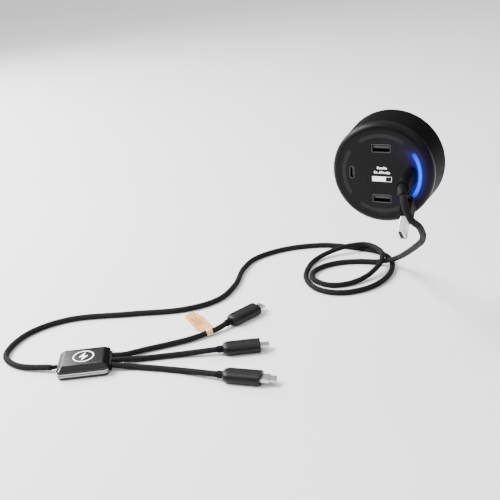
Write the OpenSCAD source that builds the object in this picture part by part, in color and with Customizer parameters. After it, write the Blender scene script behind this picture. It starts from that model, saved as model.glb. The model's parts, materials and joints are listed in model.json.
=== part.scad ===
// Phone charging hub for a shop counter: a round wall puck with four sockets,
// and one plugged-in charging cable with a junction box and three leads.
// Millimetres, +Z up. The puck's back is on the plane y = 0 and it faces -Y.

/* [Hub] */
// outside radius of the puck at the front
hub_r = 36; // [35.8:0.1:37]
// how far the face stands off the wall
hub_depth = 34; // [33.5:0.5:38]
// radius of the flat face plate
face_r = 31.4; // [31:0.1:31.4]
// circle that the wall screws sit on
wall_pcd = 50; // [49:0.5:51]
// height of the square sockets above and below the centre
socket_rise = 18.1; // [17.8:0.1:18.3]
// distance of the slim sockets left and right of the centre
socket_reach = 21.2; // [20.8:0.1:21.2]
// width of the display window
window_w = 19; // [16:0.5:20]
// height of the display window
window_h = 15.5; // [14:0.5:16]
// radius of the light arcs
lens_r = 27; // [26.9:0.1:27.2]

/* [Cable] */
// diameter of the main cord
cord_d = 4.6; // [4:0.1:4.8]
// diameter of each lead
lead_d = 4.5; // [4:0.1:4.6]
// width of a connector housing
housing_w = 13.5; // [12.5:0.5:14]
// thickness of a connector housing
housing_t = 8.5; // [8:0.1:8.6]
// length of a connector housing
housing_l = 28.5; // [26:0.5:30]
// length of the box on the cable
box_l = 38.5; // [37:0.5:39]
// width of the box on the cable
box_w = 31; // [29:0.5:32]
// height of the box on the cable
box_h = 10.2; // [10:0.1:10.6]

/* [Hidden] */
$fn = 64;
// the sub-part to draw, or all

// colours
BLACK = [0.03, 0.03, 0.035];
DARK = [0.12, 0.12, 0.13];
STEEL = [0.75, 0.76, 0.78];
BOARD = [0.05, 0.25, 0.14];
TAN = [0.8, 0.6, 0.42];

// the surface that the loose cable lies on
table_z = -132.7;
touch = 0.01;

// puck, measured outwards from the wall
gasket_t = 1.5;
floor_top = 4;
housing_in_r = 33.6;
back_r = hub_r + 1.3;
back_round = 1.2;
joint_z = hub_depth - 7;
skirt_z = hub_depth - 12;
bezel_in_r = face_r + 0.1;
bezel_round = hub_r - bezel_in_r;
plate_t = 2;
plate_back = hub_depth - plate_t;
board_top = hub_depth - 14;
board_t = 1.6;
board_back = board_top - board_t;
insert_l = 8.5;
insert_r = 3;
thread_r = 2;
insert_boss_r = 4.6;
grommet_r = 4;
grommet_flange_r = 5.2;
power_bore_r = 2.5;
post_ring = 28.7;
post_r = 2.5;
boss_r = 3.5;
screw_head_r = 2.6;
screw_r = 1.2;
screw_hole_r = 1.6;
screw_end = hub_depth - 8;
lens_w = 2.7;
lens_half = 32.5;
lens_back = hub_depth - 2.4;
slot_gap = 0.05;
led_board_z = hub_depth - 4;
led_board_t = 0.8;
led_size = 2;
window_t = 1.5;
window_drop = -1;

// sockets and plugs
a_shell = [13.1, 5.7];
a_wall = 0.3;
a_depth = 14;
a_plug = [12, 4.5];
c_shell = [8.94, 3.26];
c_wall = 0.3;
c_plug = [8.2, 2.4];
c_plug_in = [7.6, 1.8];
c_plug_l = 6.65;
plug_gap = 0.3;
plug_w = 13;
plug_thick = 7.5;
plug_front = hub_depth + plug_gap;
plug_rear = hub_depth + 23;
neck_r = 3.2;
boot_r = 2.9;
neck_straight = 2.5;
neck_bend_r = 9;
neck_bend = 50;
neck_turn = 40;

// adaptor hanging under the plug
pivot = [20.5, -47, -10];
pin_r = 1.1;
lug_bore_r = 1.17;
lug_r = 1.75;
lug_t = 2.6;
cheek_t = 1;
cheek_gap = 0.3;
strap_t = 1.2;
adaptor_tilt = 43;
adaptor_size = [15, 8, 13.5];
adaptor_reach = 9.8;
adaptor_back = 0.7;
adaptor_shell_l = 12;

// box on the cable
box_at = [-204, -133];
box_turn = 29;
box_r = 3.5;
trim_low = 2.3;
trim_high = 5.3;
cover_low = 5.7;
bevel_low = 7.2;
bevel_w = 4;
box_wall = 1.6;
entry_h = 3.6;
exit_h = 4;
box_neck_l = 5.5;
box_neck_r = 1.6;
sleeve_l = 1.5;
sleeve_w = 20.4;
lead_pitch = 7.2;
emblem_r = 8;
emblem_t = 0.6;
emblem_low = box_h - emblem_t - 0.12;

// connectors: middle of the housing's front edge on the table, and heading
usb_c_front = [-113.5, -17];
usb_c_turn = 67;
lightning_front = [-86, -71.3];
lightning_turn = 27.8;
micro_front = [-66.6, -113.7];
micro_turn = 8;
housing_z = table_z + housing_t / 2;
lead_neck_l = 4.3;
lead_neck_r = 2.8;
micro_base = [8.4, 3, 6];
micro_tip = [6.85, 1.8, 4.5];
lightning_tip_size = [6.7, 1.5, 6.7];
c_tip = [8.34, 2.56, 6.65];

// tag on the first lead
tag_at = [-134.8, -62.2, -129.8];
tag_lead_turn = 54;
tag_turn = 138;
tag_t = 0.35;
band_in_r = 2.45;
band_t = 0.4;
band_w = 5;

// where the cords start and end
neck_side = [sin(neck_turn), 0, -cos(neck_turn)];
neck_dir = [0, -cos(neck_bend), 0] + sin(neck_bend) * neck_side;
cord_start = [socket_reach, -plug_rear - neck_straight - neck_bend_r * sin(neck_bend), 0]
    + neck_bend_r * (1 - cos(neck_bend)) * neck_side;
box_dir = [cos(box_turn), sin(box_turn), 0];
box_side = [-sin(box_turn), cos(box_turn), 0];
function on_box(along, across, up) =
    [box_at.x, box_at.y, table_z + up] + along * box_dir + across * box_side;
cord_end = on_box(-box_l / 2 - box_neck_l, 0, entry_h);
function heading(turn) = [cos(turn), sin(turn), 0];
function lead_end(front, turn) =
    [front.x, front.y, housing_z] - (housing_l + lead_neck_l) * heading(turn);
function lead_start(place) = on_box(box_l / 2 + sleeve_l, place * lead_pitch, exit_h);

// route of the main cord: down from the plug, two loops, then across to the box
main_route = [
    [26, -70.5, -9.5], [29.5, -69.5, -18], [32.5, -62, -25], [32.5, -53, -32.5],
    [31, -43, -40], [27, -30, -49.5], [20, -14, -60], [10, 8, -74], [-5, 42, -94.5],
    [-19, 80, -114.5], [-30, 94, -124.5],
    [-44, 98, -129.5], [-60, 97, -130.4], [-77, 90, -130.4], [-89, 78, -130.4],
    [-93, 63, -130.4], [-86, 49, -130.4], [-70, 43.5, -130.4], [-55, 51, -130.4],
    [-44, 66, -129.2], [-38, 84, -125.5], [-39, 98, -122.5], [-47, 114, -124.2],
    [-62, 125, -125.4], [-77, 118, -125.5], [-91, 107, -128], [-100, 92, -130.2],
    [-101, 74, -130.4], [-96, 53, -130.4], [-83, 36.5, -130.4], [-66, 30.5, -130.4],
    [-48, 36, -130.4], [-33, 53, -130.4], [-27, 78, -130.4], [-32, 104, -130.4],
    [-48, 120.5, -130.4], [-72, 126, -130.4], [-105, 125, -130.4], [-136, 109, -130.4],
    [-156, 83, -130.4], [-158.5, 56, -130.4], [-151.5, 22, -130.4], [-154, -8, -130.4],
    [-175, -32, -130.4], [-215, -51, -130.4], [-260, -73, -130.4], [-280, -104, -130.4],
    [-276, -137, -130.4], [-255, -149, -130.4]
];
// routes of the three leads between the box and their connectors
usb_c_route = [
    [-181, -111.5, -129.4], [-170, -98.5, -130.4], [-157, -87, -130.4],
    [-143, -73.5, -130.2], [-131, -57, -129.6]
];
lightning_route = [[-177, -117.5, -129.6], [-166, -111.5, -130.4], [-141, -98, -130.4]];
micro_route = [[-174, -126.5, -129.6], [-162, -123, -130.4], [-130, -118.5, -130.4]];
main_rings = 68;
lead_rings = 7;

// a smooth curve through points, its direction, and rings carried along it
function unit(v) = v / norm(v);
function bend_at(p, i, s) =
    let (a = p[i - 1], b = p[i], c = p[i + 1], d = p[i + 2])
    0.5 * (2 * b + (c - a) * s + (2 * a - 5 * b + 4 * c - d) * s * s
        + (3 * b - a - 3 * c + d) * s * s * s);
function along(p, u) =
    let (i = min(floor(u), len(p) - 4)) bend_at(p, i + 1, u - i);
function samples(p, count) =
    [for (k = [0 : count - 1]) along(p, k * (len(p) - 3) / (count - 1))];
function with_guides(start, dir, mid, end, end_dir) =
    concat([start - 8 * dir, start], mid, [end, end + 8 * end_dir]);
function directions(c, first, last) = [
    for (i = [0 : len(c) - 1])
        i == 0 ? first : i == len(c) - 1 ? last : unit(c[i + 1] - c[i - 1])
];
function carried(t, n, i = 0) =
    i == len(t) ? [] : let (m = unit(n - (n * t[i]) * t[i])) concat([m], carried(t, m, i + 1));

module tube(start, start_dir, mid, end, end_dir, d, rings, sides = 8) {
    c = samples(with_guides(start, start_dir, mid, end, end_dir), rings);
    t = directions(c, start_dir, end_dir);
    n = carried(t, [0.3, 0.1, 1]);
    points = [
        for (i = [0 : rings - 1]) for (k = [0 : sides - 1])
            c[i] + d / 2 * (cos(360 * k / sides) * n[i]
                + sin(360 * k / sides) * cross(t[i], n[i]))
    ];
    walls = [
        for (i = [0 : rings - 2]) for (k = [0 : sides - 1])
            let (a = i * sides + k, b = i * sides + (k + 1) % sides)
            [a, a + sides, b + sides, b]
    ];
    first_cap = [for (k = [0 : sides - 1]) k];
    last_cap = [for (k = [sides - 1 : -1 : 0]) (rings - 1) * sides + k];
    polyhedron(points, concat([first_cap], walls, [last_cap]));
}

// turns drawings of the puck, made flat with the wall as their floor, to face -Y
module facing() rotate([90, 0, 0]) children();
module around(count, r, from = 0)
    for (i = [0 : count - 1]) rotate(from + i * 360 / count) translate([r, 0, 0]) children();
module slab(size, r) {
    square([size.x - 2 * r, size.y], center = true);
    square([size.x, size.y - 2 * r], center = true);
    for (x = [-1, 1]) for (y = [-1, 1])
        translate([x * (size.x / 2 - r), y * (size.y / 2 - r)]) circle(r);
}
module pill(size) slab(size, min(size.x, size.y) / 2 - 0.001);
module hollow(outer, wall, r) difference() {
    slab(outer, r);
    slab([outer.x - 2 * wall, outer.y - 2 * wall], max(r - wall, 0.1));
}
module pill_tube(outer, inner) difference() {
    pill(outer);
    pill(inner);
}
module layer(from, to) translate([0, 0, from]) linear_extrude(to - from) children();
module arc(r, w, half) {
    intersection() {
        difference() {
            circle(r + w / 2, $fn = 120);
            circle(r - w / 2, $fn = 120);
        }
        polygon([
            [0, 0], 2 * r * [cos(half), -sin(half)], [2 * r, 0],
            2 * r * [cos(half), sin(half)]
        ]);
    }
    for (s = [-1, 1]) rotate(s * half) translate([r, 0]) circle(w / 2 - 0.05);
}
module square_sockets() for (s = [-1, 1]) translate([0, s * socket_rise]) children();
module slim_sockets() for (s = [-1, 1]) translate([s * socket_reach, 0]) rotate(90) children();

// ---- puck ----
module wall_gasket() color(DARK) facing() difference() {
    layer(0, gasket_t) circle(housing_in_r, $fn = 120);
    layer(-1, gasket_t + 1) {
        circle(grommet_r);
        around(4, wall_pcd / 2) circle(insert_r);
        around(4, post_ring, 45) circle(screw_head_r + 0.4);
    }
}

module threaded_inserts() color([0.8, 0.65, 0.3]) facing() around(4, wall_pcd / 2)
    layer(0, insert_l) difference() {
        circle(insert_r);
        circle(thread_r);
    }

module power_grommet() color(DARK) facing() rotate_extrude() polygon([
    [power_bore_r, 0], [grommet_r, 0], [grommet_r, floor_top],
    [grommet_flange_r, floor_top], [grommet_flange_r, floor_top + 1], [power_bore_r, floor_top + 1]
]);

module rear_housing() color(BLACK) facing() difference() {
    union() {
        rotate_extrude($fn = 120) polygon(concat(
            [[0, gasket_t]],
            [for (a = [-90 : 15 : 0])
                [back_r - back_round + back_round * cos(a),
                    gasket_t + back_round + back_round * sin(a)]],
            [[hub_r, joint_z], [housing_in_r, joint_z], [housing_in_r, floor_top], [0, floor_top]]
        ));
        layer(floor_top - touch, board_back) around(4, post_ring, 45) circle(boss_r);
        layer(floor_top - touch, insert_l + gasket_t) around(4, wall_pcd / 2)
            circle(insert_boss_r);
    }
    layer(-1, floor_top + 1) circle(grommet_r);
    layer(-1, insert_l) around(4, wall_pcd / 2) circle(insert_r);
    layer(-1, board_back + 1) around(4, post_ring, 45) circle(screw_hole_r);
    layer(-1, floor_top) around(4, post_ring, 45) circle(screw_head_r + 0.3);
}

module front_bezel() color(BLACK) facing() rotate_extrude($fn = 120) polygon(concat(
    [for (a = [0 : 7.5 : 90])
        [bezel_in_r + bezel_round * cos(a), hub_depth - bezel_round + bezel_round * sin(a)]],
    [[bezel_in_r, skirt_z], [housing_in_r - 0.1, skirt_z],
        [housing_in_r - 0.1, joint_z + 0.1], [hub_r, joint_z + 0.1]]
));

module face_plate() color(DARK) facing() difference() {
    union() {
        layer(plate_back, hub_depth) circle(face_r, $fn = 120);
        layer(board_top, plate_back + touch) around(4, post_ring, 45) circle(post_r);
    }
    layer(plate_back - 1, hub_depth + 1) {
        square_sockets() slab(a_shell + [0.1, 0.1], 0.6);
        slim_sockets() pill(c_shell + [0.1, 0.1]);
        translate([0, window_drop]) slab([window_w + 0.1, window_h + 0.1], 0.8);
        for (side = [0 : 3]) rotate(90 * side) arc(lens_r, lens_w + 2 * slot_gap, lens_half);
    }
    layer(board_top - 1, screw_end + 1) around(4, post_ring, 45) circle(screw_r);
}

module led_lens(side) color([0.75, 0.78, 0.85]) facing() rotate(90 * side)
    layer(lens_back, hub_depth) arc(lens_r, lens_w, lens_half);

module led_ring_board() color(BOARD) facing() layer(led_board_z, led_board_z + led_board_t)
    difference() {
        circle(lens_r + 3.4, $fn = 120);
        circle(lens_r - 3.4, $fn = 120);
        around(4, post_ring, 45) circle(post_r + 0.3);
    }

module status_leds() color([0.9, 0.9, 0.8]) facing()
    layer(led_board_z + led_board_t, lens_back)
        for (side = [0 : 3]) for (step = [-20, 0, 20])
            rotate(90 * side + step) translate([lens_r, 0]) square(led_size, center = true);

module display_window() color([0.02, 0.02, 0.03]) facing() translate([0, window_drop])
    layer(hub_depth - window_t, hub_depth) slab([window_w, window_h], 0.75);

module display_module() color([0.1, 0.12, 0.2]) facing() translate([0, window_drop])
    layer(hub_depth - 4.5, hub_depth - window_t) slab([window_w - 0.4, window_h - 0.5], 0.5);

module usb_a_shell(s) color(STEEL) facing() translate([0, s * socket_rise])
    layer(hub_depth - a_depth, hub_depth) hollow(a_shell, a_wall, 0.5);

module usb_a_tongue(s) color(DARK) facing() translate([0, s * socket_rise]) {
    layer(hub_depth - a_depth, hub_depth - 10) slab(a_shell - [0.6, 0.6], 0.2);
    translate([0, 0.9]) layer(hub_depth - 10 - touch, hub_depth - 1) square([11.1, 1.84], center = true);
}

module usb_c_shell(s) color(STEEL) facing() translate([s * socket_reach, 0]) rotate(90)
    layer(hub_depth - a_depth, hub_depth)
        pill_tube(c_shell, [c_shell.x - 2 * c_wall, c_shell.y - 2 * c_wall]);

module usb_c_tongue(s) color(DARK) facing() translate([s * socket_reach, 0]) rotate(90) {
    layer(hub_depth - a_depth, hub_depth - 10) pill([c_shell.x - 2 * c_wall, c_shell.y - 2 * c_wall]);
    layer(hub_depth - 10 - touch, hub_depth - 2) square([6.69, 0.7], center = true);
}

module main_board() color(BOARD) facing() layer(board_back, board_top) difference() {
    circle(housing_in_r - 1.4, $fn = 120);
    around(4, post_ring, 45) circle(screw_hole_r);
}

module power_controller() color(BLACK) facing() translate([-9, 2])
    layer(board_top, board_top + 0.9) square(6, center = true);

module inductors() color(DARK) facing() for (y = [-5, 5]) translate([9, y])
    layer(board_top, board_top + 3) slab([6, 6], 1);

module capacitors() color([0.2, 0.2, 0.35]) facing() for (x = [-14, 14]) for (y = [-5, 5])
    translate([x, y]) layer(board_back - 6, board_back) circle(2.5);

module terminal_block() color([0.1, 0.35, 0.2]) facing()
    layer(board_back - 8, board_back) square([14, 8], center = true);

module board_connectors() color(BLACK) facing() {
    for (side = [0, 180]) rotate(side + 21) translate([lens_r, 0])
        layer(board_top, led_board_z) square([2.5, 5], center = true);
    translate([0, -3]) layer(board_top, hub_depth - 4.5) square([8, 2.5], center = true);
}

module housing_screws() color(STEEL) facing() around(4, post_ring, 45) {
    layer(floor_top - 2, floor_top) difference() {
        circle(screw_head_r);
        circle(1.2, $fn = 6);
    }
    layer(floor_top - 0.8, screw_end) circle(screw_r);
}

// ---- plug and neck at the puck ----
module at_plug() facing() translate([socket_reach, 0, 0]) rotate(90) children();

module hub_plug_shell() color(STEEL) at_plug()
    layer(plug_front - c_plug_l, plug_front) pill_tube(c_plug, c_plug_in);

module hub_plug_body() color(BLACK) at_plug()
    layer(plug_front, plug_rear) pill([plug_w, plug_thick]);

module hub_plug_neck() color(BLACK) {
    at_plug() layer(plug_rear, plug_rear + neck_straight) circle(neck_r);
    translate([socket_reach, -plug_rear - neck_straight, 0])
        rotate([0, -neck_turn, 0]) translate([0, 0, -neck_bend_r])
            rotate([0, -90, 0]) rotate([0, 0, -neck_bend])
                rotate_extrude(angle = neck_bend) translate([neck_bend_r, 0]) circle(boot_r);
}

module adaptor_strap() color(DARK) {
    strap_low = -plug_w / 2 - 0.2 - strap_t;
    side = lug_t / 2 + cheek_gap;
    difference() {
        union() {
            facing() {
                translate([socket_reach, 0]) layer(plug_rear + 0.1, plug_rear + 2)
                    circle(neck_r + 1.3);
                translate([socket_reach - 2.5, strap_low]) layer(plug_rear + 0.1, plug_rear + 2)
                    square([5, -strap_low - neck_r]);
                translate([pivot.x - side - cheek_t, strap_low])
                    layer(-pivot.y - lug_r, plug_rear + 2)
                        square([socket_reach + 2.5 - pivot.x + side + cheek_t, strap_t]);
            }
            for (x = [-side - cheek_t, side]) across_pivot(x, cheek_t) {
                circle(lug_r);
                translate([-1.5, 0]) square([3, strap_low + strap_t - pivot.z]);
            }
            across_pivot(-side - cheek_t, 2 * (side + cheek_t)) circle(pin_r);
        }
        facing() translate([socket_reach, 0]) layer(plug_rear, plug_rear + 3) circle(neck_r);
    }
}
module across_pivot(from, width) translate([pivot.x + from, pivot.y, pivot.z])
    rotate([90, 0, 90]) linear_extrude(width) children();

// ---- main cord and box ----
module main_cord() color(BLACK)
    tube(cord_start, neck_dir, main_route, cord_end, box_dir, cord_d, main_rings);

module on_table_box() translate([box_at.x, box_at.y, table_z]) rotate(box_turn) children();

module box_neck() color(BLACK) on_table_box() translate([-box_l / 2 - box_neck_l, 0, entry_h])
    rotate([0, 90, 0]) cylinder(h = box_neck_l + box_wall, r = box_neck_r);

module entry_hole() translate([-box_l / 2 - 1, 0, entry_h]) rotate([0, 90, 0])
    cylinder(h = 6, r = box_neck_r);
module exit_slot(from, to) layer(from, to) translate([box_l / 2, 0])
    square([4, sleeve_w + 0.2], center = true);

module box_bottom_cover() color(BLACK) on_table_box() difference() {
    union() {
        layer(0, 0.6) slab([box_l - 2, box_w - 2], box_r - 1);
        layer(0.6 - touch, trim_low) slab([box_l - 0.6, box_w - 0.6], box_r);
        layer(trim_low - touch, trim_high) slab([box_l - 3, box_w - 3], box_r - 1);
    }
    layer(box_wall, trim_high + 1)
        slab([box_l - 3 - 2 * box_wall, box_w - 3 - 2 * box_wall], box_r - 2);
    entry_hole();
    exit_slot(exit_h - 2.6, trim_high + 1);
}

module box_trim_band() color(STEEL) on_table_box() difference() {
    union() {
        layer(trim_low, trim_high) slab([box_l - 0.8, box_w - 0.8], box_r);
        layer(trim_low + 0.1, trim_low + 1.2) slab([box_l, box_w], box_r);
        layer(trim_high - 1.2, trim_high - 0.1) slab([box_l, box_w], box_r);
    }
    layer(trim_low - 1, trim_high + 1) slab([box_l - 3, box_w - 3], box_r - 1);
    entry_hole();
    exit_slot(trim_low - 1, trim_high + 1);
}

module emblem_outline() {
    difference() {
        circle(emblem_r);
        circle(emblem_r - 0.9);
    }
    polygon([[1.2, 6], [-3.5, -0.9], [-0.4, -0.9], [-1.2, -6], [3.5, 0.9], [0.4, 0.9]]);
}

module box_bevels() for (side = [0 : 3]) rotate(90 * side)
    translate([(side % 2 == 0 ? box_l : box_w) / 2, 0, bevel_low])
        rotate([0, atan((box_h - bevel_low) / bevel_w), 0])
            translate([-20, -40, 0]) cube([60, 80, 20]);

module box_top_cover() color(BLACK) on_table_box() difference() {
    union() {
        layer(trim_high, cover_low + touch) slab([box_l - 1.6, box_w - 1.6], box_r);
        layer(cover_low, box_h) slab([box_l, box_w], box_r);
    }
    box_bevels();
    layer(trim_high - 1, box_h - 2.2) slab([box_l - 6, box_w - 6], box_r - 2.5);
    exit_slot(trim_high - 1, exit_h + 2.6);
    layer(emblem_low, box_h + 1) emblem_outline();
}

module box_emblem() color([0.95, 0.96, 1]) on_table_box()
    layer(emblem_low, emblem_low + emblem_t) emblem_outline();

module box_led_board() color(BOARD) on_table_box() {
    layer(trim_high - 1.2, trim_high - 0.2) slab([box_l - 8, box_w - 8], 2);
    layer(trim_high - 0.2 - touch, trim_high + 0.6)
        for (x = [-4, 4]) for (y = [-4, 4]) translate([x, y]) square(led_size, center = true);
}

module lead_sleeve() color(BLACK) on_table_box() layer(exit_h - 2.5, exit_h + 2.5)
    translate([box_l / 2 - 1 + sleeve_l / 2, 0]) slab([sleeve_l + 2, sleeve_w], 0.9);

// ---- leads and connectors ----
module lead(place, route, front, turn)
    color(BLACK) tube(lead_start(place), box_dir, route, lead_end(front, turn),
        heading(turn), lead_d, lead_rings);

module at_front(front, turn) translate([front.x, front.y, housing_z]) rotate(turn)
    rotate([90, 0, 90]) children();

module housing(front, turn) color(BLACK) at_front(front, turn)
    layer(-housing_l, 0) pill([housing_w, housing_t]);

module lead_neck(front, turn) color(BLACK) at_front(front, turn)
    layer(-housing_l - lead_neck_l, -housing_l) circle(lead_neck_r);

module usb_c_tip() color(STEEL) at_front(usb_c_front, usb_c_turn)
    layer(0, c_tip.z) pill_tube([c_tip.x, c_tip.y], [c_tip.x - 0.6, c_tip.y - 0.6]);

module lightning_tip() color(STEEL) at_front(lightning_front, lightning_turn)
    layer(0, lightning_tip_size.z) slab([lightning_tip_size.x, lightning_tip_size.y], 0.6);

module micro_usb_tip() color(STEEL) at_front(micro_front, micro_turn) {
    layer(0, micro_base.z) slab([micro_base.x, micro_base.y], 0.5);
    layer(micro_base.z - touch, micro_base.z + micro_tip.z) difference() {
        slab([micro_tip.x, micro_tip.y], 0.4);
        slab([micro_tip.x - 0.5, micro_tip.y - 0.5], 0.2);
    }
}

// ---- adaptor ----
module at_pivot() translate(pivot) rotate([adaptor_tilt - 90, 0, 0]) rotate(90) children();
module at_adaptor() at_pivot() translate([adaptor_reach, 0, adaptor_back]) children();

module adaptor_body() color(BLACK) difference() {
    union() {
        at_adaptor() layer(-adaptor_size.z, 0) slab([adaptor_size.x, adaptor_size.y], 1.2);
        at_pivot() {
            rotate([90, 0, 0]) cylinder(h = lug_t, r = lug_r, center = true);
            translate([0, -lug_t / 2, -lug_r])
                cube([adaptor_reach - adaptor_size.x / 2 + 0.5, lug_t, 2 * lug_r]);
        }
    }
    at_pivot() rotate([90, 0, 0]) cylinder(h = 2 * lug_t, r = lug_bore_r, center = true);
}

module adaptor_shell() color(STEEL) at_adaptor()
    layer(-adaptor_size.z - adaptor_shell_l, -adaptor_size.z) hollow(a_plug, a_wall, 0.4);

module adaptor_tongue() color([0.85, 0.85, 0.85]) at_adaptor()
    translate([0, -a_plug.y / 2 + a_wall + 0.9, 0])
        layer(-adaptor_size.z - adaptor_shell_l + 0.6, -adaptor_size.z)
            square([a_plug.x - 2 * a_wall - 0.2, 1.76], center = true);

// ---- tag ----
module tag_band() color(TAN) translate(tag_at) rotate([0, 90, tag_lead_turn])
    layer(-band_w / 2, band_w / 2) difference() {
        circle(band_in_r + band_t);
        circle(band_in_r);
    }

module tag_label() color(TAN) difference() {
    translate([tag_at.x, tag_at.y, tag_at.z - band_in_r - band_t]) rotate(tag_turn)
        layer(0, tag_t) polygon([
            [1, -2.5], [8, -2.5], [10, -7.5], [31, -7.5], [45, -2.5],
            [40.5, 6], [12, 6], [8, 2.5], [1, 2.5]
        ]);
    translate(tag_at) rotate([0, 90, tag_lead_turn])
        cylinder(h = 3 * band_w, r = band_in_r + band_t, center = true);
}

wall_gasket();
threaded_inserts();
power_grommet();
rear_housing();
front_bezel();
face_plate();
led_lens(1);  // led_lens_top
led_lens(2);  // led_lens_left
led_lens(3);  // led_lens_bottom
led_lens(0);  // led_lens_right
led_ring_board();
status_leds();
display_window();
display_module();
usb_a_shell(1);  // usb_a_shell_top
usb_a_shell(-1);  // usb_a_shell_bottom
usb_a_tongue(1);  // usb_a_tongue_top
usb_a_tongue(-1);  // usb_a_tongue_bottom
usb_c_shell(-1);  // usb_c_shell_left
usb_c_shell(1);  // usb_c_shell_right
usb_c_tongue(-1);  // usb_c_tongue_left
usb_c_tongue(1);  // usb_c_tongue_right
main_board();
power_controller();
inductors();
capacitors();
terminal_block();
board_connectors();
housing_screws();
hub_plug_shell();
hub_plug_body();
hub_plug_neck();
adaptor_strap();
main_cord();
box_neck();
box_bottom_cover();
box_trim_band();
box_top_cover();
box_emblem();
box_led_board();
lead_sleeve();
lead(1, usb_c_route, usb_c_front, usb_c_turn);  // lead_usb_c
lead(0, lightning_route, lightning_front, lightning_turn);  // lead_lightning
lead(-1, micro_route, micro_front, micro_turn);  // lead_micro_usb
housing(usb_c_front, usb_c_turn);  // usb_c_housing
housing(lightning_front, lightning_turn);  // lightning_housing
housing(micro_front, micro_turn);  // micro_usb_housing
lead_neck(usb_c_front, usb_c_turn);  // usb_c_neck
lead_neck(lightning_front, lightning_turn);  // lightning_neck
lead_neck(micro_front, micro_turn);  // micro_usb_neck
usb_c_tip();
lightning_tip();
micro_usb_tip();
adaptor_body();
adaptor_shell();
adaptor_tongue();
tag_label();
tag_band();
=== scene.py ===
"""Phone charging hub with its plugged-in cable, the cable's box, three leads and a tag."""
import json
import math

import bpy
from mathutils import Matrix, Vector


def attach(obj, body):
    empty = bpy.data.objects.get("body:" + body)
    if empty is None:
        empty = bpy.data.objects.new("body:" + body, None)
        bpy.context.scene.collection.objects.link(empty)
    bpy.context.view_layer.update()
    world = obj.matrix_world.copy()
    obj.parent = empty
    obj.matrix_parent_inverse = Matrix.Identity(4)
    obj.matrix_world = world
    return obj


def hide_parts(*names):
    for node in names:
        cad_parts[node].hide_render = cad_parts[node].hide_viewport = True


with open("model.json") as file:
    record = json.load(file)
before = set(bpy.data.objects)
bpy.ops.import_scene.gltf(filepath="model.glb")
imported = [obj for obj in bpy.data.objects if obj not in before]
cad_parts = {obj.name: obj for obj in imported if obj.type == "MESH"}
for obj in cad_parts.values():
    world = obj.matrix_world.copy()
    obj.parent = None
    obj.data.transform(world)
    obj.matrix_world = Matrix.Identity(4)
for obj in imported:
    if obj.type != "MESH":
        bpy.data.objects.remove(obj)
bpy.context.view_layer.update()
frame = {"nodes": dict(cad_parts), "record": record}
NODES = frame["nodes"]
MM = 0.001

# ---- places that part.scad also uses, in millimetres ----
TABLE_Z = -132.7
CORD_D = 4.6
LEAD_D = 4.5
FACE_Y = -34.0
SOCKET_REACH = 21.2
PLUG_FRONT_Y = -34.3
PLUG_REAR_Y = -57.0
PLUG_SIZE = (13.0, 7.5)
NECK_STRAIGHT = 2.5
NECK_BEND_R = 9.0
NECK_BEND = math.radians(50)
NECK_TURN = math.radians(40)
BOX_AT = (-204.0, -133.0)
BOX_TURN = 29.0
BOX_SIZE = (38.5, 31.0)
BOX_R = 3.5
BOX_NECK_L = 5.5
SLEEVE_L = 1.5
LEAD_PITCH = 7.2
ENTRY_H = 3.6
EXIT_H = 4.0
HOUSING = (13.5, 8.5, 28.5)
LEAD_NECK_L = 4.3
TAG_AT = (-134.8, -62.2, -129.8)
TAG_TURN = 138.0
TAG_T = 0.35
BAND_IN_R = 2.45
BAND_T = 0.4

CONNECTORS = {
    "usb_c": ((-113.5, -17.0), 67.0),
    "lightning": ((-86.0, -71.3), 27.8),
    "micro_usb": ((-66.6, -113.7), 8.0),
}
MAIN_ROUTE = [
    (26, -70.5, -9.5), (29.5, -69.5, -18), (32.5, -62, -25), (32.5, -53, -32.5),
    (31, -43, -40), (27, -30, -49.5), (20, -14, -60), (10, 8, -74), (-5, 42, -94.5),
    (-19, 80, -114.5), (-30, 94, -124.5),
    (-44, 98, -129.5), (-60, 97, -130.4), (-77, 90, -130.4), (-89, 78, -130.4),
    (-93, 63, -130.4), (-86, 49, -130.4), (-70, 43.5, -130.4), (-55, 51, -130.4),
    (-44, 66, -129.2), (-38, 84, -125.5), (-39, 98, -122.5), (-47, 114, -124.2),
    (-62, 125, -125.4), (-77, 118, -125.5), (-91, 107, -128), (-100, 92, -130.2),
    (-101, 74, -130.4), (-96, 53, -130.4), (-83, 36.5, -130.4), (-66, 30.5, -130.4),
    (-48, 36, -130.4), (-33, 53, -130.4), (-27, 78, -130.4), (-32, 104, -130.4),
    (-48, 120.5, -130.4), (-72, 126, -130.4), (-105, 125, -130.4), (-136, 109, -130.4),
    (-156, 83, -130.4), (-158.5, 56, -130.4), (-151.5, 22, -130.4), (-154, -8, -130.4),
    (-175, -32, -130.4), (-215, -51, -130.4), (-260, -73, -130.4), (-280, -104, -130.4),
    (-276, -137, -130.4), (-255, -149, -130.4),
]
LEAD_ROUTES = {
    "usb_c": (1, [
        (-181, -111.5, -129.4), (-170, -98.5, -130.4), (-157, -87, -130.4),
        (-143, -73.5, -130.2), (-131, -57, -129.6),
    ]),
    "lightning": (0, [(-177, -117.5, -129.6), (-166, -111.5, -130.4), (-141, -98, -130.4)]),
    "micro_usb": (-1, [(-174, -126.5, -129.6), (-162, -123, -130.4), (-130, -118.5, -130.4)]),
}


def heading(turn):
    """A level direction, turned from +X in degrees."""
    return Vector((math.cos(math.radians(turn)), math.sin(math.radians(turn)), 0))


BOX_DIR = heading(BOX_TURN)
BOX_SIDE = heading(BOX_TURN + 90)
HOUSING_Z = TABLE_Z + HOUSING[1] / 2


def on_box(along, across, up):
    """A point on the cable's box, in the box's own directions."""
    return Vector((BOX_AT[0], BOX_AT[1], TABLE_Z + up)) + BOX_DIR * along + BOX_SIDE * across


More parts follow.
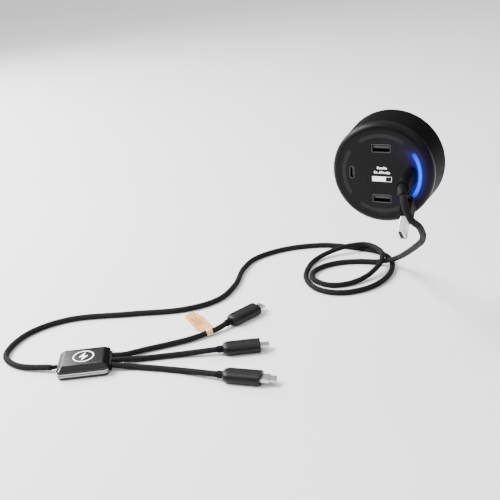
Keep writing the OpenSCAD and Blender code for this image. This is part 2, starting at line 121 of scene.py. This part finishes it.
# ---- camera ----
SENSOR_W = 36
FOCAL_LENGTH = 58.743
CAMERA_AT = (0.15103, -0.55591, 0.18018)
CAMERA_TURN = math.radians(26.212)
CAMERA_TILT = math.radians(66.899)
CAMERA_ROLL = math.radians(-5.153)


def make_camera():
    """The main view, from the front and above the table."""
    data = bpy.data.cameras.new("camera")
    data.sensor_width = SENSOR_W
    data.lens = FOCAL_LENGTH
    camera = bpy.data.objects.new("camera", data)
    place = Matrix.Translation(CAMERA_AT)
    turn = Matrix.Rotation(CAMERA_TURN, 4, "Z")
    tilt = Matrix.Rotation(CAMERA_TILT, 4, "X")
    roll = Matrix.Rotation(CAMERA_ROLL, 4, "Z")
    camera.matrix_world = place @ turn @ tilt @ roll
    bpy.context.scene.collection.objects.link(camera)
    bpy.context.scene.camera = camera


make_camera()


# ---- node helpers ----
class Nodes:
    """A material's node tree, with short calls for the nodes used here."""

    def __init__(self, name):
        self.material = bpy.data.materials.new(name)
        self.material.use_nodes = True
        self.tree = self.material.node_tree
        self.shader = self.tree.nodes["Principled BSDF"]

    def add(self, kind, **values):
        node = self.tree.nodes.new(kind)
        for key, value in values.items():
            setattr(node, key, value)
        return node

    def link(self, a, b):
        self.tree.links.new(a, b)

    def feed(self, socket, output):
        """Drives one of the shader's sockets from another node."""
        self.link(output, self.shader.inputs[socket])

    def set(self, **values):
        """Sets the shader's own sockets; an underscore in a name stands for a space."""
        for key, value in values.items():
            self.shader.inputs[key.replace("_", " ")].default_value = value

    def math(self, operation, a, b=None):
        node = self.add("ShaderNodeMath", operation=operation)
        for slot, value in enumerate((a, b)):
            if value is None:
                continue
            if isinstance(value, (int, float)):
                node.inputs[slot].default_value = value
            else:
                self.link(value, node.inputs[slot])
        return node.outputs[0]

    def coordinates(self, kind="Object"):
        return self.add("ShaderNodeTexCoord").outputs[kind]

    def noise(self, scale, detail=4.0, rough=0.5, vector=None):
        node = self.add("ShaderNodeTexNoise")
        node.inputs["Scale"].default_value = scale
        node.inputs["Detail"].default_value = detail
        node.inputs["Roughness"].default_value = rough
        self.link(vector or self.coordinates(), node.inputs["Vector"])
        return node.outputs["Fac"]

    def ramp(self, fac, stops):
        """A colour that runs through the stops, each a place from 0 to 1 and a colour."""
        node = self.add("ShaderNodeValToRGB")
        while len(node.color_ramp.elements) < len(stops):
            node.color_ramp.elements.new(0.5)
        for element, (place, colour) in zip(node.color_ramp.elements, stops):
            element.position = place
            element.color = (*colour, 1)
        self.link(fac, node.inputs["Fac"])
        return node.outputs["Color"]

    def spread(self, fac, low, high):
        """An output of 0 to 1, stretched to run from low to high."""
        node = self.add("ShaderNodeMapRange")
        node.inputs["To Min"].default_value = low
        node.inputs["To Max"].default_value = high
        self.link(fac, node.inputs["Value"])
        return node.outputs["Result"]

    def bump(self, height, strength, distance):
        node = self.add("ShaderNodeBump")
        node.inputs["Strength"].default_value = strength
        node.inputs["Distance"].default_value = distance
        self.link(height, node.inputs["Height"])
        self.feed("Normal", node.outputs["Normal"])


def tinted(colour, factor):
    """The colour made darker or lighter by a factor."""
    return tuple(min(1.0, c * factor) for c in colour)


def moulded(name, colour, rough, grain=0.25, grain_scale=2600, shine=0.1):
    """Moulded plastic or rubber: fine grain, faint mottling and uneven gloss."""
    n = Nodes(name)
    mottle = [(0.3, tinted(colour, 0.88)), (0.7, tinted(colour, 1.14))]
    n.feed("Base Color", n.ramp(n.noise(60), mottle))
    n.feed("Roughness", n.spread(n.noise(130), rough - 0.06, rough + 0.06))
    n.bump(n.noise(grain_scale, 2), grain, 0.06 * MM)
    n.set(Specular_IOR_Level=shine)
    return n


def metal(name, colour, rough, brushed=(300, 4000, 300), relief=0.12):
    """Plated or brushed metal, with fine drawn lines and patchy gloss."""
    n = Nodes(name)
    stretch = n.add("ShaderNodeMapping")
    stretch.inputs["Scale"].default_value = brushed
    n.link(n.coordinates(), stretch.inputs["Vector"])
    lines = n.noise(1.0, 3, 0.6, stretch.outputs["Vector"])
    n.feed("Base Color", n.ramp(lines, [(0.2, tinted(colour, 0.9)), (0.8, tinted(colour, 1.06))]))
    n.feed("Roughness", n.spread(lines, rough - 0.05, rough + 0.08))
    n.bump(lines, relief, 0.03 * MM)
    n.set(Metallic=1.0)
    return n


def gloss(name, colour, rough):
    """Polished plastic with faint waviness and dust."""
    n = Nodes(name)
    dust = n.noise(900, 6, 0.7)
    n.feed("Base Color", n.ramp(dust, [(0.62, colour), (0.78, tinted(colour, 2.2))]))
    n.feed("Roughness", n.spread(n.noise(90), rough, rough + 0.05))
    n.bump(n.noise(70, 1), 0.05, 0.2 * MM)
    n.set(Specular_IOR_Level=0.3)
    return n


STRANDS_PER_MM = 0.42
STRANDS_ROUND = 8.0


def braid():
    """A woven sleeve: two families of strands that cross, from the tube's own UV, with painted
    shade in the hollows between the strands.
    """
    n = Nodes("braid")
    place = n.add("ShaderNodeSeparateXYZ")
    n.link(n.coordinates("UV"), place.inputs[0])
    along_turns = n.math("MULTIPLY", place.outputs["X"], STRANDS_PER_MM)
    round_turns = n.math("MULTIPLY", place.outputs["Y"], STRANDS_ROUND)
    waves = []
    for sign in ("ADD", "SUBTRACT"):
        turns = n.math(sign, along_turns, round_turns)
        waves.append(n.math("SINE", n.math("MULTIPLY", turns, math.tau)))
    height = n.math("ABSOLUTE", n.math("MULTIPLY", *waves))
    fuzz = n.noise(5200, 3, 0.6)
    relief = n.math("ADD", height, n.math("MULTIPLY", fuzz, 0.6))
    # painted shade: the colour darkens where the weave is low, between the strands, and is
    # lightest on their crowns
    painted_weave_shade = [
        (0.0, (0.001, 0.001, 0.001)), (0.35, (0.008, 0.008, 0.0085)), (1.0, (0.018, 0.018, 0.019)),
    ]
    n.feed("Base Color", n.ramp(height, painted_weave_shade))
    n.feed("Roughness", n.spread(fuzz, 0.6, 0.85))
    n.bump(relief, 0.7, 0.22 * MM)
    n.set(Specular_IOR_Level=0.1)
    return n.material


def lit(name, colour, strength, under=(0.02, 0.02, 0.02)):
    """A surface that glows, a little uneven, under a smooth skin."""
    n = Nodes(name)
    n.set(Base_Color=(*under, 1), Roughness=0.25, Emission_Strength=strength)
    n.feed("Emission Color", n.ramp(n.noise(220, 2), [(0.3, tinted(colour, 0.86)), (0.7, colour)]))
    return n.material


# the lit arc on the hub's face and the reach of its glow, across the arc and past its ends
ARC_R = 27 * MM
ARC_HALF_W = 1.4 * MM
ARC_HALF_H = 15.2 * MM
GLOW_HALF_H = 12 * MM
NEAR_GLOW = (2.6 * MM, 3.2 * MM)
WIDE_GLOW = (7.5 * MM, 8 * MM)


def on_face(n):
    """A point's place on the hub's face, as two outputs."""
    parts = n.add("ShaderNodeSeparateXYZ")
    n.link(n.coordinates(), parts.inputs[0])
    return parts.outputs["X"], parts.outputs["Z"]


def off_arc(n, x, z):
    """How far a point of the face is from the circle that the arcs lie on."""
    square = n.math("ADD", n.math("MULTIPLY", x, x), n.math("MULTIPLY", z, z))
    return n.math("ABSOLUTE", n.math("SUBTRACT", n.math("SQRT", square), ARC_R))


def lens_lit():
    """The lit arc: pale blue along its middle and deep blue at its edges and ends."""
    n = Nodes("lens_lit")
    x, z = on_face(n)
    edge = n.math("POWER", n.math("DIVIDE", off_arc(n, x, z), ARC_HALF_W), 2.0)
    end = n.math("POWER", n.math("DIVIDE", n.math("ABSOLUTE", z), ARC_HALF_H), 3.0)
    worst = n.math("MAXIMUM", edge, end)
    blues = [(0.0, (0.0, 0.13, 1.0)), (0.5, (0.0, 0.08, 1.0)), (1.0, (0.0, 0.01, 1.0))]
    n.feed("Emission Color", n.ramp(worst, blues))
    n.feed("Emission Strength", n.spread(worst, 2.6, 0.9))
    n.set(Base_Color=(0.01, 0.02, 0.1, 1), Roughness=0.3, Specular_IOR_Level=0.1)
    return n.material


def with_glow(n):
    """Adds the blue light that spills from the lit arc onto the plastic around it."""
    x, z = on_face(n)
    off = off_arc(n, x, z)
    past = n.math("MAXIMUM", n.math("SUBTRACT", n.math("ABSOLUTE", z), GLOW_HALF_H), 0.0)
    lit_side = n.math("GREATER_THAN", x, 0.0)

    def fall(reach, end_reach):
        a, b = n.math("DIVIDE", off, reach), n.math("DIVIDE", past, end_reach)
        total = n.math("ADD", n.math("MULTIPLY", a, a), n.math("MULTIPLY", b, b))
        bell = n.math("POWER", math.e, n.math("MULTIPLY", total, -1.0))
        return n.math("MULTIPLY", bell, lit_side)

    near, wide = fall(*NEAR_GLOW), fall(*WIDE_GLOW)
    blues = [(0.0, (0.22, 0.1, 1.0)), (0.3, (0.03, 0.03, 1.0)), (1.0, (0.0, 0.05, 1.0))]
    n.feed("Emission Color", n.ramp(near, blues))
    strength = n.math("ADD", n.math("MULTIPLY", near, 0.5), n.math("MULTIPLY", wide, 0.05))
    n.feed("Emission Strength", strength)
    return n.material


def board():
    """A circuit board: green mask in blocks with paler lines between them."""
    n = Nodes("board_green")
    cells = n.add("ShaderNodeTexBrick")
    cells.inputs["Scale"].default_value = 260
    cells.inputs["Mortar Size"].default_value = 0.03
    cells.inputs["Color1"].default_value = (0.01, 0.075, 0.03, 1)
    cells.inputs["Color2"].default_value = (0.014, 0.09, 0.04, 1)
    cells.inputs["Mortar"].default_value = (0.03, 0.16, 0.07, 1)
    n.link(n.coordinates(), cells.inputs["Vector"])
    n.feed("Base Color", cells.outputs["Color"])
    n.bump(n.noise(700), 0.1, 0.04 * MM)
    n.set(Roughness=0.35)
    return n.material


def tag_material(name, colour, lighter):
    """Tan card with a leather-like grain and small patches of a lighter colour."""
    n = Nodes(name)
    n.feed("Base Color", n.ramp(n.noise(170, 5), [(0.3, colour), (0.72, lighter)]))
    n.feed("Roughness", n.spread(n.noise(400), 0.5, 0.7))
    n.bump(n.noise(1500, 5, 0.65), 0.3, 0.08 * MM)
    return n.material


MATERIALS = {
    "black_plastic": moulded("black_plastic", (0.006, 0.006, 0.0063), 0.4, shine=0.2).material,
    "face_plastic": with_glow(moulded("face_plastic", (0.006, 0.006, 0.0061), 0.42)),
    "gloss_black": gloss("gloss_black", (0.002, 0.002, 0.0022), 0.15).material,
    "chrome_trim": metal("chrome_trim", (0.3, 0.3, 0.31), 0.16).material,
    "plug_metal": metal("plug_metal", (0.6, 0.6, 0.6), 0.28, (900, 900, 900), 0.04).material,
    "socket_metal": metal("socket_metal", (0.12, 0.12, 0.122), 0.4, (900, 900, 900)).material,
    "screw_steel": metal("screw_steel", (0.5, 0.5, 0.5), 0.3).material,
    "brass": metal("brass", (0.8, 0.6, 0.28), 0.26).material,
    "rubber_black": moulded("rubber_black", (0.003, 0.003, 0.0032), 0.6, 0.35, 3200).material,
    "window_black": moulded("window_black", (0.006, 0.006, 0.0061), 0.42).material,
    "display": lit("display", (0.6, 0.7, 1.0), 0.05),
    "lens_off": moulded("lens_off", (0.018, 0.018, 0.0185), 0.35, 0.1).material,
    "lens_lit": lens_lit(),
    "board_green": board(),
    "part_black": moulded("part_black", (0.02, 0.02, 0.02), 0.5).material,
    "part_white": moulded("part_white", (0.7, 0.7, 0.66), 0.45).material,
    "braid": braid(),
    "emblem_white": lit("emblem_white", (0.9, 0.94, 1.0), 1.6, (0.8, 0.8, 0.8)),
    "tag_card": tag_material("tag_card", (0.6, 0.27, 0.08), (0.7, 0.34, 0.12)),
}
MATT_PLASTIC = moulded("rear_plastic", (0.003, 0.003, 0.0031), 0.55, shine=0.03).material
SOCKET_INSERT = moulded("socket_insert", (0.07, 0.07, 0.072), 0.5).material
INK = moulded("ink", (0.13, 0.05, 0.02), 0.7).material
SCREEN_WHITE = lit("screen_white", (0.95, 0.97, 1.0), 2.2, (0.3, 0.3, 0.3))

# nodes whose look differs from the rest of their material slot
OWN_LOOKS = {
    "tag_band": tag_material("band_cream", (0.8, 0.46, 0.2), (0.88, 0.54, 0.27)),
    "front_bezel": with_glow(moulded("bezel_plastic", (0.003, 0.003, 0.0031), 0.42)),
    "rear_housing": MATT_PLASTIC,
    "adaptor_body": MATT_PLASTIC,
    "usb_a_tongue_top": SOCKET_INSERT,
    "usb_a_tongue_bottom": SOCKET_INSERT,
    "usb_c_tongue_left": SOCKET_INSERT,
}
for part in frame["record"]["subparts"]:
    look = OWN_LOOKS.get(part["node"], MATERIALS[part["material_slot"]])
    for material_slot in NODES[part["node"]].material_slots:
        material_slot.material = look


# ---- mesh helpers, in millimetres ----
def make_piece(name, points, faces, material, body, uv=None, smooth=True):
    """A mesh piece that rides on a body and takes the given material."""
    mesh = bpy.data.meshes.new(name)
    mesh.from_pydata([tuple(Vector(p) * MM) for p in points], [], faces)
    mesh.update()
    if uv:
        layer = mesh.uv_layers.new(name="along")
        for loop_index, value in enumerate(uv):
            layer.data[loop_index].uv = value
    for polygon in mesh.polygons:
        polygon.use_smooth = smooth
    mesh.materials.append(material)
    piece = bpy.data.objects.new(name, mesh)
    bpy.context.scene.collection.objects.link(piece)
    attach(piece, body)
    return piece


# a tube's sides, the spacing of its rings and how far outside a route its guide points lie
CORD_SIDES = 16
CORD_STEP = 2.5
GUIDE_L = 8


def quads_between(first, count):
    """Faces from a ring of points, whose first is given, to the ring that follows it."""
    quads = []
    for k in range(count):
        a, b = first + k, first + (k + 1) % count
        quads.append((a, b, b + count, a + count))
    return quads


def smooth_path(points, step):
    """The same curve through the points as part.scad's, sampled about every step."""
    out = []
    for i in range(1, len(points) - 2):
        a, b, c, d = (Vector(p) for p in points[i - 1:i + 3])
        count = max(2, round((c - b).length / step))
        for k in range(count):
            s = k / count
            out.append(0.5 * (2 * b + (c - a) * s + (2 * a - 5 * b + 4 * c - d) * s * s
                              + (3 * b - a - 3 * c + d) * s ** 3))
    out.append(Vector(points[-2]))
    return out


def tube(name, path, first_dir, last_dir, diameter, nodes):
    """A braided tube along a path, with a UV map in millimetres along and turns around."""
    sides = CORD_SIDES
    # any direction across the start of the path will do
    normal = Vector((0.3, 0.1, 1))
    points, faces, uv, lengths = [], [], [], []
    along = 0.0
    for i, centre in enumerate(path):
        if i == 0:
            ahead = first_dir
        elif i == len(path) - 1:
            ahead = last_dir
        else:
            ahead = (path[i + 1] - path[i - 1]).normalized()
        along += (centre - path[i - 1]).length if i else 0.0
        lengths.append(along)
        normal = (normal - ahead * normal.dot(ahead)).normalized()
        side = ahead.cross(normal)
        for k in range(sides):
            turn = math.tau * k / sides
            spoke = normal * math.cos(turn) + side * math.sin(turn)
            points.append(centre + spoke * diameter / 2)
    for i, (here, there) in enumerate(zip(lengths, lengths[1:])):
        faces += quads_between(i * sides, sides)
        for k in range(sides):
            v0, v1 = k / sides, (k + 1) / sides
            uv += [(here, v0), (here, v1), (there, v1), (there, v0)]
    for ring, order in ((0, -1), (len(path) - 1, 1)):
        faces.append(tuple(ring * sides + k for k in range(sides))[::order])
        uv += [(lengths[ring], k / sides) for k in range(sides)]
    piece = make_piece(name, points, faces, MATERIALS["braid"], "cable", uv)
    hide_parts(*nodes)
    return piece, along * MM


def guided(start, start_dir, middle, end, end_dir):
    """A route with a point outside each end, so that the curve leaves and arrives straight."""
    before, after = start - start_dir * GUIDE_L, end + end_dir * GUIDE_L
    return [before, start] + [Vector(p) for p in middle] + [end, after]


# ---- cords ----
NECK_SIDE = Vector((math.sin(NECK_TURN), 0, -math.cos(NECK_TURN)))
NECK_DIR = Vector((0, -math.cos(NECK_BEND), 0)) + NECK_SIDE * math.sin(NECK_BEND)
NECK_END_Y = PLUG_REAR_Y - NECK_STRAIGHT - NECK_BEND_R * math.sin(NECK_BEND)
CORD_START = Vector((SOCKET_REACH, NECK_END_Y, 0))
CORD_START += NECK_SIDE * NECK_BEND_R * (1 - math.cos(NECK_BEND))
CORD_END = on_box(-BOX_SIZE[0] / 2 - BOX_NECK_L, 0, ENTRY_H)
main_path = smooth_path(guided(CORD_START, NECK_DIR, MAIN_ROUTE, CORD_END, BOX_DIR), CORD_STEP)
main_cord, main_length = tube(
    "main_cord_braid", main_path, NECK_DIR, BOX_DIR, CORD_D, ["main_cord"]
)
for kind, (place, route) in LEAD_ROUTES.items():
    front, turn = CONNECTORS[kind]
    lead_start = on_box(BOX_SIZE[0] / 2 + SLEEVE_L, place * LEAD_PITCH, EXIT_H)
    ahead = heading(turn)
    lead_end = Vector((*front, HOUSING_Z)) - ahead * (HOUSING[2] + LEAD_NECK_L)
    path = smooth_path(guided(lead_start, BOX_DIR, route, lead_end, ahead), CORD_STEP)
    piece, length = tube(f"lead_{kind}_braid", path, BOX_DIR, ahead, LEAD_D, [f"lead_{kind}"])


# ---- shaped plastic pieces ----
def stadium(width, thick, count=12):
    """A flat oval's outline: two half circles of the thickness, joined."""
    reach, radius = (width - thick) / 2, thick / 2
    right = [math.radians(-90 + 180 * k / count) for k in range(count + 1)]
    ring = [(reach + radius * math.cos(a), radius * math.sin(a)) for a in right]
    return ring + [(-x, -y) for x, y in ring]


def rounded_rectangle(length, width, radius, count=8):
    """A rectangle's outline with round corners."""
    ring = []
    for corner, (sx, sy) in enumerate(((1, -1), (1, 1), (-1, 1), (-1, -1))):
        for k in range(count + 1):
            a = math.radians(-90 + 90 * corner + 90 * k / count)
            ring.append((sx * (length / 2 - radius) + radius * math.cos(a),
                         sy * (width / 2 - radius) + radius * math.sin(a)))
    return ring


def loft(name, rings, place, material, body, nodes):
    """Closed skin through rings of equal point count; place turns (x, y, height) into a point."""
    count = len(rings[0][1])
    points = [place(x, y, height) for height, ring in rings for x, y in ring]
    faces = []
    for i in range(len(rings) - 1):
        faces += quads_between(i * count, count)
    faces.append(tuple(range(count))[::-1])
    faces.append(tuple((len(rings) - 1) * count + k for k in range(count)))
    piece = make_piece(name, points, faces, material, body)
    edges = piece.modifiers.new("edges", "WEIGHTED_NORMAL")
    edges.keep_sharp = True
    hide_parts(*nodes)
    return piece


SHOULDER_L = 5.0
SHOULDER_STEPS = 12
LIP = 0.5
LIP_STEPS = 4
NECK_OVAL = 0.6


def housing_rings(width, thick, length, neck):
    """Oval grip: small front edge, straight body and rounded shoulders behind."""
    rings = []
    for k in range(SHOULDER_STEPS + 1):
        a = math.pi / 2 * k / SHOULDER_STEPS
        grow = math.sin(a)
        back = SHOULDER_L * (1 - math.cos(a))
        oval = stadium(
            neck + NECK_OVAL + (width - neck - NECK_OVAL) * grow, neck + (thick - neck) * grow
        )
        rings.append((back - length, oval))
    for k in range(LIP_STEPS + 1):
        a = math.pi / 2 * k / LIP_STEPS
        inset = LIP * (1 - math.cos(a))
        rings.append((-LIP + LIP * math.sin(a), stadium(width - 2 * inset, thick - 2 * inset)))
    return rings


LEAD_NECK_D = 5.6
PLUG_NECK_D = 6.4


def make_housing(kind):
    """The grip of one lead's connector, on the table."""
    (x, y), turn = CONNECTORS[kind]
    front, ahead, side = Vector((x, y, HOUSING_Z)), heading(turn), heading(turn + 90)
    return loft(
        f"{kind}_grip", housing_rings(*HOUSING, LEAD_NECK_D),
        lambda a, b, h: front + side * a + Vector((0, 0, b)) + ahead * h,
        MATERIALS["black_plastic"], "cable", [f"{kind}_housing"],
    )


grips = {kind: make_housing(kind) for kind in CONNECTORS}
loft(
    "hub_plug_grip", housing_rings(*PLUG_SIZE, PLUG_FRONT_Y - PLUG_REAR_Y, PLUG_NECK_D),
    lambda a, b, h: Vector((SOCKET_REACH + b, PLUG_FRONT_Y + h, a)),
    MATT_PLASTIC, "cable", ["hub_plug_body"],
)

# the box's cover, as heights and insets: a shadow gap, a short wall, a soft edge and a bevel
COVER_PROFILE = [
    (5.3, 0.8), (5.7, 0.8), (5.72, 0.2), (5.95, 0.0), (6.9, 0.0), (7.2, 0.12), (7.42, 0.36),
    (9.84, 3.6), (9.98, 3.95), (10.04, 4.5),
]
COVER_MIN_R = 0.6
COVER_R_LOSS = 0.75
cover_rings = []
for height, inset in COVER_PROFILE:
    radius = max(COVER_MIN_R, BOX_R - COVER_R_LOSS * inset)
    outline = rounded_rectangle(BOX_SIZE[0] - 2 * inset, BOX_SIZE[1] - 2 * inset, radius)
    cover_rings.append((height, outline))
box_cover = loft(
    "box_cover", cover_rings, on_box, MATERIALS["gloss_black"], "cable",
    ["box_top_cover"],
)


# ---- flat marks ----
def plates(name, outlines, place, thick, material, body):
    """Thin closed plates from flat outlines; place turns (a, b, height) into a point."""
    points, faces = [], []
    for outline in outlines:
        first, count = len(points), len(outline)
        points += [place(a, b, 0) for a, b in outline] + [place(a, b, thick) for a, b in outline]
        faces.append(tuple(range(first, first + count))[::-1])
        faces.append(tuple(range(first + count, first + 2 * count)))
        faces += quads_between(first, count)
    return make_piece(name, points, faces, material, body, smooth=False)


def bar(x, z, width, height):
    """A rectangle's four corners around its middle."""
    x0, x1, z0, z1 = x - width / 2, x + width / 2, z - height / 2, z + height / 2
    return [(x0, z0), (x1, z0), (x1, z1), (x0, z1)]


SCREEN_GAP = 0.02
SCREEN_T = 0.05
INK_T = 0.04


def on_window(a, b, height):
    """A point on the display window; positive height is towards the viewer."""
    return Vector((a, FACE_Y - SCREEN_GAP - height, b))


def block_row(left, base, pitch, width, heights):
    """A row of plain blocks of different heights that stand on one line."""
    return [bar(left + pitch * k, base + h / 2, width, h) for k, h in enumerate(heights)]


# two rows of plain blocks, then a gauge that is seven tenths full
upper_blocks = block_row(-2.5, 3.35, 1.45, 1.0, (1.7, 1.2, 1.2, 1.7, 1.2))
lower_blocks = block_row(-4.75, 0.15, 1.27, 0.9, (1.7, 1.2, 0.3, 1.7, 1.7, 1.2, 1.2, 1.6, 1.2))
GAUGE_X, GAUGE_Z, GAUGE_W, GAUGE_H, LINE = 0.25, -3.75, 13.8, 3.6, 0.2
GAUGE_LEVEL = 0.7
FULL = GAUGE_LEVEL * GAUGE_W
gauge = [
    bar(GAUGE_X, GAUGE_Z + (GAUGE_H - LINE) / 2, GAUGE_W, LINE),
    bar(GAUGE_X, GAUGE_Z - (GAUGE_H - LINE) / 2, GAUGE_W, LINE),
    bar(GAUGE_X + (GAUGE_W - LINE) / 2, GAUGE_Z, LINE, GAUGE_H - 2 * LINE),
    bar(GAUGE_X - GAUGE_W / 2 + FULL / 2, GAUGE_Z, FULL, GAUGE_H - 2 * LINE),
]
plates("screen_blocks", upper_blocks + lower_blocks + gauge, on_window, SCREEN_T,
       SCREEN_WHITE, "hub")

# the tag's printed lines, as fine raised ink on its card
TAG_TOP = TAG_AT[2] - BAND_IN_R - BAND_T + TAG_T
tag_ahead, tag_side = heading(TAG_TURN), heading(TAG_TURN + 90)


def on_tag(a, b, height):
    """A point above the tag's card: along it, across it and up."""
    return Vector((TAG_AT[0], TAG_AT[1], TAG_TOP + height)) + tag_ahead * a + tag_side * b


INK_LINES = [
    bar(27, 2.4, 15, 0.7), bar(24, 0.6, 13, 0.5), bar(28, -1.1, 15, 0.5), bar(25, -2.8, 11, 0.5),
]
plates("tag_lines", INK_LINES, on_tag, INK_T, INK, "tag")


# ---- floor and light ----
FLOOR_REACH = 6.0
FLOOR_GAP = 0.1


def make_floor():
    """The table, as one wide sheet just under the cable."""
    mesh = bpy.data.meshes.new("floor")
    z = (TABLE_Z - FLOOR_GAP) * MM
    side = 2 * FLOOR_REACH
    mesh.from_pydata([(a, b, z) for a, b in bar(0, 0, side, side)], [], [(0, 1, 2, 3)])
    floor = bpy.data.objects.new("floor", mesh)
    bpy.context.scene.collection.objects.link(floor)
    n = Nodes("floor_paint")
    n.feed("Base Color", n.ramp(n.noise(3), [(0.3, (0.8, 0.8, 0.8)), (0.7, (0.83, 0.83, 0.83))]))
    n.set(Roughness=0.6)
    floor.data.materials.append(n.material)


def area_light(name, place, target, size, power):
    """A soft box that faces its target."""
    data = bpy.data.lights.new(name, "AREA")
    data.shape = "RECTANGLE"
    data.size, data.size_y = size
    data.energy = power
    light = bpy.data.objects.new(name, data)
    light.location = place
    light.rotation_euler = (Vector(target) - Vector(place)).to_track_quat("-Z", "Y").to_euler()
    bpy.context.scene.collection.objects.link(light)


def make_light():
    """A room that is bright overhead and dark near the horizon, a key light and soft boxes."""
    world = bpy.data.worlds.new("studio")
    world.use_nodes = True
    tree = world.node_tree
    parts = tree.nodes.new("ShaderNodeSeparateXYZ")
    tree.links.new(tree.nodes.new("ShaderNodeTexCoord").outputs["Generated"], parts.inputs[0])
    height = tree.nodes.new("ShaderNodeMapRange")
    for key, value in (("From Min", 0.35), ("From Max", 0.9), ("To Min", 0.12), ("To Max", 1.8)):
        height.inputs[key].default_value = value
    tree.links.new(parts.outputs["Z"], height.inputs["Value"])
    tree.links.new(height.outputs["Result"], tree.nodes["Background"].inputs["Strength"])
    tree.nodes["Background"].inputs["Color"].default_value = (1, 1, 1, 1)
    bpy.context.scene.world = world
    area_light("key", (-1.1, -0.3, 0.95), (-0.2, 0, -0.1), (0.7, 0.7), 62)
    area_light("box_side", (-1.32, 0.53, 0.63), (-0.204, -0.133, -0.122), (0.8, 0.8), 26)
    area_light("fill", (0.9, -0.9, 1.1), (0, 0, -0.1), (1.2, 1.2), 7)


make_floor()
make_light()
